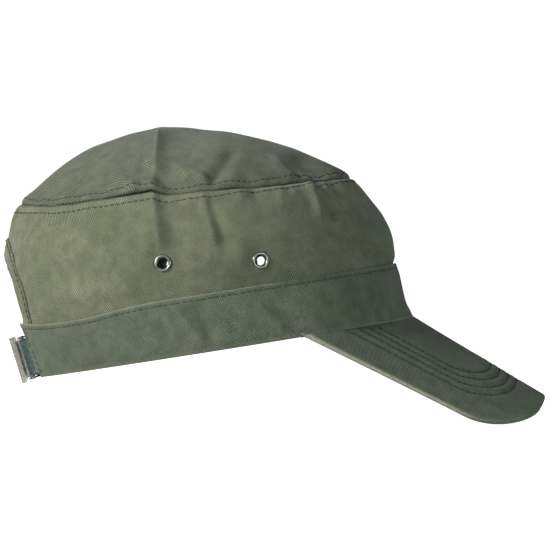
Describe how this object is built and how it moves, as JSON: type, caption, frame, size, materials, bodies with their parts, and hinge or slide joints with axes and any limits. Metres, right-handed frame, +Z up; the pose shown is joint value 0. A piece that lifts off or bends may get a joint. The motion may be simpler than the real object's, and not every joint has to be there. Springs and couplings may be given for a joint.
{
  "type": "military field cap",
  "caption": "Soft domed field cap with a wide band, a pre-curved visor, vent eyelets and a rear strap with a metal flip clasp.",
  "frame": {"origin": "middle of the cap's bounding box, on the table it stands on (visor's side edges and the clasp)", "axes": "+X forward, out over the visor; +Y to the wearer's left; +Z up"},
  "size_m": [0.2864, 0.1712, 0.1402],
  "materials": {
    "crown_cloth": "olive cotton twill, matt, washed",
    "seam_tape": "olive cotton tape, matt",
    "stiffener": "stiff woven buckram, matt",
    "sweatband_cloth": "olive cotton sweatband, matt",
    "visor_plastic": "moulded polyethylene board",
    "strap_webbing": "dark green webbing with a fuzzy face",
    "satin_metal": "satin nickel plate, lightly worn",
    "label_cloth": "blank woven label",
    "thread": "dark olive sewing thread"
  },
  "bodies": {
    "cap": {"crown_top": "crown_cloth", "crown_side": "crown_cloth", "opening_binding": "crown_cloth", "band_outer": "crown_cloth", "visor_top_cover": "crown_cloth", "visor_bottom_cover": "crown_cloth", "crown_seam_tape": "seam_tape", "band_interlining": "stiffener", "sweatband": "sweatband_cloth", "visor_board": "visor_plastic", "clasp_chape": "strap_webbing", "clasp_pin": "satin_metal", "chape_bar": "satin_metal", "clasp_frame": "satin_metal", "care_label": "label_cloth", "eyelet_right_rear": "satin_metal", "eyelet_right_front": "satin_metal", "eyelet_left_rear": "satin_metal", "eyelet_left_front": "satin_metal", "washer_right_rear": "satin_metal", "washer_right_front": "satin_metal", "washer_left_rear": "satin_metal", "washer_left_front": "satin_metal"},
    "strap": {"adjuster_strap": "strap_webbing"},
    "lever": {"clasp_lever": "satin_metal"}
  },
  "joints": [
    {"name": "strap_slide", "type": "hinge", "parent": "cap", "child": "strap", "pos_m": [-0.0593, 0, 0.04099], "axis": [0.3743, 0, -0.9273], "range_deg": [-8, 20]},
    {"name": "clasp_flip", "type": "hinge", "parent": "cap", "child": "lever", "pos_m": [-0.12645, -0.01871, 0.01389], "axis": [-0.3743, 0, 0.9273], "range_deg": [0, 90]}
  ]
}
